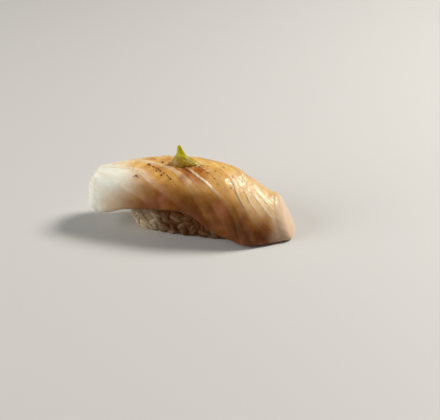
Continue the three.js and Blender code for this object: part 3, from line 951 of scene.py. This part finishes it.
def grain_on_side(random, turn, level, shape):
    """One grain on the block's side near a turn and a height, lying in its own way."""
    z = level + random.uniform(-GRAIN_DRIFT, GRAIN_DRIFT)
    tilt = random.normal(0, GRAIN_TILT)
    roll = random.uniform(-GRAIN_ROLL, GRAIN_ROLL)
    pitch = random.normal(0, GRAIN_PITCH)
    scale = np.array([GRAIN_LENGTH, GRAIN_WIDTH, GRAIN_THICKNESS]) / 2
    scale = scale * random.uniform(*GRAIN_SIZES) * np.array([1, random.uniform(*GRAIN_WIDTHS), 1])
    at = Vector(rice_point(turn, z, inset=random.uniform(*GRAIN_INSETS)))
    along = rice_direction(turn, z, turn_step=0.02)
    up = rice_direction(turn, z, z_step=0.5)
    out = along.cross(up).normalized()
    spin = Matrix.Rotation(tilt, 3, out)
    long = (spin @ along.normalized() + out * pitch).normalized()
    across = out.cross(long).normalized()
    basis = Matrix((long, across, long.cross(across))).transposed() @ Matrix.Rotation(roll, 3, "X")
    grain = (np.array(basis) @ (shape * scale).T).T
    bend = 0.02 * (shape[:, :1] ** 2) * scale[0]
    return grain - np.array(out) * bend + np.array(at)


def build_grains(offset):
    """The outer grains, level by level round the block."""
    random = np.random.default_rng(GRAIN_SEED)
    shape, shape_faces = grain_shape()
    turns = np.linspace(0, 2 * math.pi, LEVEL_SAMPLES)
    points, faces, stains, count = [], [], [], 0
    for level in GRAIN_LEVELS:
        ring = rice_point(turns, np.full(LEVEL_SAMPLES, level))
        gone = np.concatenate([[0], np.cumsum(np.linalg.norm(np.diff(ring, axis=0), axis=1))])
        for distance in np.arange(random.uniform(0, FIRST_GRAIN), gone[-1], GRAIN_SPACING):
            grain = grain_on_side(random, np.interp(distance, gone, turns), level, shape)
            ceiling = slice_ceiling(grain) - GRAIN_GAP
            if (grain[:, 2] > ceiling).mean() > MOST_ABOVE:
                continue
            # Grains under the slice are pressed flat against it.
            grain[:, 2] = np.clip(grain[:, 2], 0, ceiling)
            points.append(grain)
            faces.append(shape_faces + count)
            stains.append(rice_stain(grain) + random.uniform(-GLAZE_AND_SHADE_CHANGE, GLAZE_AND_SHADE_CHANGE))
            count += len(grain)
    points, faces, stains = [np.concatenate(parts) for parts in (points, faces, stains)]
    material, stain = rice_material("rice_grains", GRAIN_WHITE), np.clip(stains, 0, 1)
    add_piece("rice_grains", points + offset, faces, material, "rice", stain=stain)


# ---- the dab of paste ----
DAB_X, DAB_Y = -3.8, -1.1
DAB_LENGTH, DAB_WIDTH, DAB_HEIGHT = 9.5, 6, 7.25
DAB_ROWS, DAB_COLUMNS = 90, 96
COARSE_LUMPS, SMALL_LUMPS = 0.42, 0.16
# Share of the height, share of the radius, shift to the left in millimetres.
DAB_PROFILE = [
    (-0.25, 0.92, 0), (-0.1, 1, 0), (0.06, 0.98, 0), (0.15, 0.9, 0.2), (0.25, 0.74, 0.5),
    (0.35, 0.56, 0.9), (0.46, 0.42, 1.2), (0.58, 0.32, 1.45), (0.72, 0.25, 1.65),
    (0.86, 0.19, 1.85), (0.95, 0.14, 1.9), (1, 0.04, 1.9),
]
BACK_SHARE = 0.4  # the peak's shift to the back, as a share of its shift to the left
LOBE, LOBE_SIZE = (-7.8, -2.2, 28.6), (1.6, 2.4, 1.8)  # the pale lobe at the left
# Crumbs of paste to the right of the dab: X, distance along, radius.
CRUMBS = [
    (1.2, 1.6, 0.6), (1.9, 0.6, 0.55), (2.2, 2.2, 0.4), (2.9, 1.3, 0.5), (3.3, 2.5, 0.28),
    (3.7, 0.7, 0.26), (1.6, 3, 0.3), (4.5, 3.5, 0.3), (6.3, 4.8, 0.45), (5.6, 4.2, 0.2),
]
CRUMB_FORM = (1.2, 0.9, 0.6)  # length, width and height, in radii
CRUMB_LIFT = 0.7  # of its middle over the slice, in radii
CRUMB_LEVEL = 0.6  # the share of the dab's height whose colour the crumbs have


def slice_place(x, along):
    """The point of the slice's plain surface at x and a distance along."""
    points, alongs = slice_rings(np.array([x]))
    outer = slice(OUTER - 1, None, -1)
    return np.array([np.interp(along, alongs[0, outer], points[0, outer, axis]) for axis in range(3)])


def dab_rings():
    """Rings of the lumpy dab from its foot to its tip, and their shares of its height."""
    heights, radii, shifts = zip(*DAB_PROFILE)
    radius = curve_through(list(zip(heights, radii)))
    shift = curve_through(list(zip(heights, shifts)))
    high = np.linspace(heights[0], heights[-1], DAB_ROWS)[:, None]
    turn = np.linspace(0, 2 * math.pi, DAB_COLUMNS, endpoint=False)[None, :]
    x = DAB_X - shift(high) + DAB_LENGTH / 2 * radius(high) * np.cos(turn)
    y = DAB_Y + BACK_SHARE * shift(high) + DAB_WIDTH / 2 * radius(high) * np.sin(turn)
    points = stacked(x, y, ridge_height(DAB_X) + DAB_HEIGHT * high)
    out = stacked(np.cos(turn), np.sin(turn), 0.3)
    lumps = COARSE_LUMPS * noise(points + 40, 1.9, 3) + SMALL_LUMPS * noise(points, 0.7, 2)
    return points + out * (lumps * np.sqrt(radius(high)))[..., None], high


def build_dab(offset):
    """The dab of paste with its crumbs."""
    rings, high = dab_rings()
    body = DAB_ROWS * DAB_COLUMNS
    points, faces = [rings.reshape(-1, 3)], [tube_faces(DAB_ROWS, DAB_COLUMNS)[:, ::-1]]
    ball, ball_faces = grain_shape()
    for number, (at_x, at_along, size) in enumerate(CRUMBS):
        crumb = ball * (size + 0.5 * size * noise(ball + at_x, 0.7)[:, None]) * np.array(CRUMB_FORM)
        points.append(crumb + slice_place(at_x, at_along) + np.array([0, 0, CRUMB_LIFT * size]))
        faces.append(ball_faces + body + number * len(ball))
    flat, faces = np.concatenate(points), np.concatenate(faces)
    high = np.concatenate([np.repeat(high, DAB_COLUMNS), np.full(len(flat) - body, CRUMB_LEVEL)])
    # Olive gold towards the foot at the front left, and a paler lobe at the left.
    base = 0.85 * fall(high + 0.15 * noise(flat, 2), 0.1, 0.55)
    base = base * fall(flat[:, 0], -1.2, 0.8) * fall(flat[:, 1], -2, 0.5)
    near_lobe = np.linalg.norm((flat - np.array(LOBE)) / np.array(LOBE_SIZE), axis=1)
    pale = 0.22 * fall(near_lobe + 0.5 * noise(flat, 1.2, 2), 0.3, 1.4)
    pale = np.where(np.arange(len(flat)) < body, pale, 1)
    marks = {"base": base, "tip": 0.8 * rise(high, 0.3, 0.5), "pale": pale}
    add_piece("paste", flat + offset, faces, paste_material(), "paste", "paste_dab", **marks)


# ---- the stage, the light and the camera ----
FLOOR_SIZE = 3  # metres
LIT_POINT = (0, 0, 0.015)  # metres, as the lights' places and sizes are
# Each light: name, place, size, power in watts, colour.
LIGHTS = [
    ("key", (0.40, 0.27, 0.57), 0.24, 5.55, (1, 0.97, 0.92)),
    ("fill", (-0.60, -0.30, 0.32), 0.50, 3.6, (1, 1, 0.97)),
]
STUDIO_COLOR, STUDIO_STRENGTH = (1, 0.985, 0.96, 1), 0.1
# The photo's camera: its angles, its distance, and the photo's pixel of the part's origin.
CAMERA_AZIMUTH = math.radians(10)
CAMERA_ELEVATION = math.radians(31)
PHOTO_WIDTH, PHOTO_HEIGHT = 440, 420
FOCAL_PIXELS = 1100
PIXELS_PER_MM = 2.5
ORIGIN_PIXEL = (193.7, 223.8)
SENSOR_MM = 36
CLIP_START = 0.01  # metres


def build_stage():
    bpy.ops.mesh.primitive_plane_add(size=FLOOR_SIZE)
    floor = bpy.context.object
    floor.name = "floor"
    n = Nodes("floor")
    normal = n.bump(n.noise(60), strength=0.02, distance=0.001)
    floor.data.materials.append(n.finish(FLOOR_GREY, FLOOR_ROUGHNESS, normal))


def build_lights():
    for name, place, size, power, color in LIGHTS:
        data = bpy.data.lights.new(name, "AREA")
        data.shape = "SQUARE"
        data.size = size
        data.energy = power
        data.color = color
        lamp = bpy.data.objects.new(name, data)
        lamp.location = place
        aim = Vector(LIT_POINT) - Vector(place)
        lamp.rotation_euler = aim.to_track_quat("-Z", "Y").to_euler()
        bpy.context.collection.objects.link(lamp)
    world = bpy.data.worlds.new("studio")
    world.use_nodes = True
    background = world.node_tree.nodes["Background"]
    background.inputs["Color"].default_value = STUDIO_COLOR
    background.inputs["Strength"].default_value = STUDIO_STRENGTH
    bpy.context.scene.world = world


def build_camera():
    level = math.cos(CAMERA_ELEVATION)
    sin, cos = math.sin(CAMERA_AZIMUTH), math.cos(CAMERA_AZIMUTH)
    back = Vector((sin * level, -cos * level, math.sin(CAMERA_ELEVATION)))
    right = Vector((cos, sin, 0))
    up = back.cross(right)
    distance = FOCAL_PIXELS / PIXELS_PER_MM * MM
    origin_right = (ORIGIN_PIXEL[0] - PHOTO_WIDTH / 2) / PIXELS_PER_MM * MM
    origin_up = -(ORIGIN_PIXEL[1] - PHOTO_HEIGHT / 2) / PIXELS_PER_MM * MM
    data = bpy.data.cameras.new("camera")
    data.sensor_width = SENSOR_MM
    data.lens = FOCAL_PIXELS / PHOTO_WIDTH * SENSOR_MM
    data.clip_start = CLIP_START
    camera = bpy.data.objects.new("camera", data)
    camera.location = back * distance - right * origin_right - up * origin_up
    camera.rotation_euler = Matrix((right, up, back)).transposed().to_euler()
    bpy.context.collection.objects.link(camera)
    bpy.context.scene.camera = camera


build_camera()
build_lights()
build_stage()
fish_offset = build_slice()
build_rice_core(fish_offset)
build_grains(fish_offset)
build_dab(fish_offset)
bpy.context.scene.view_settings.view_transform = "Standard"
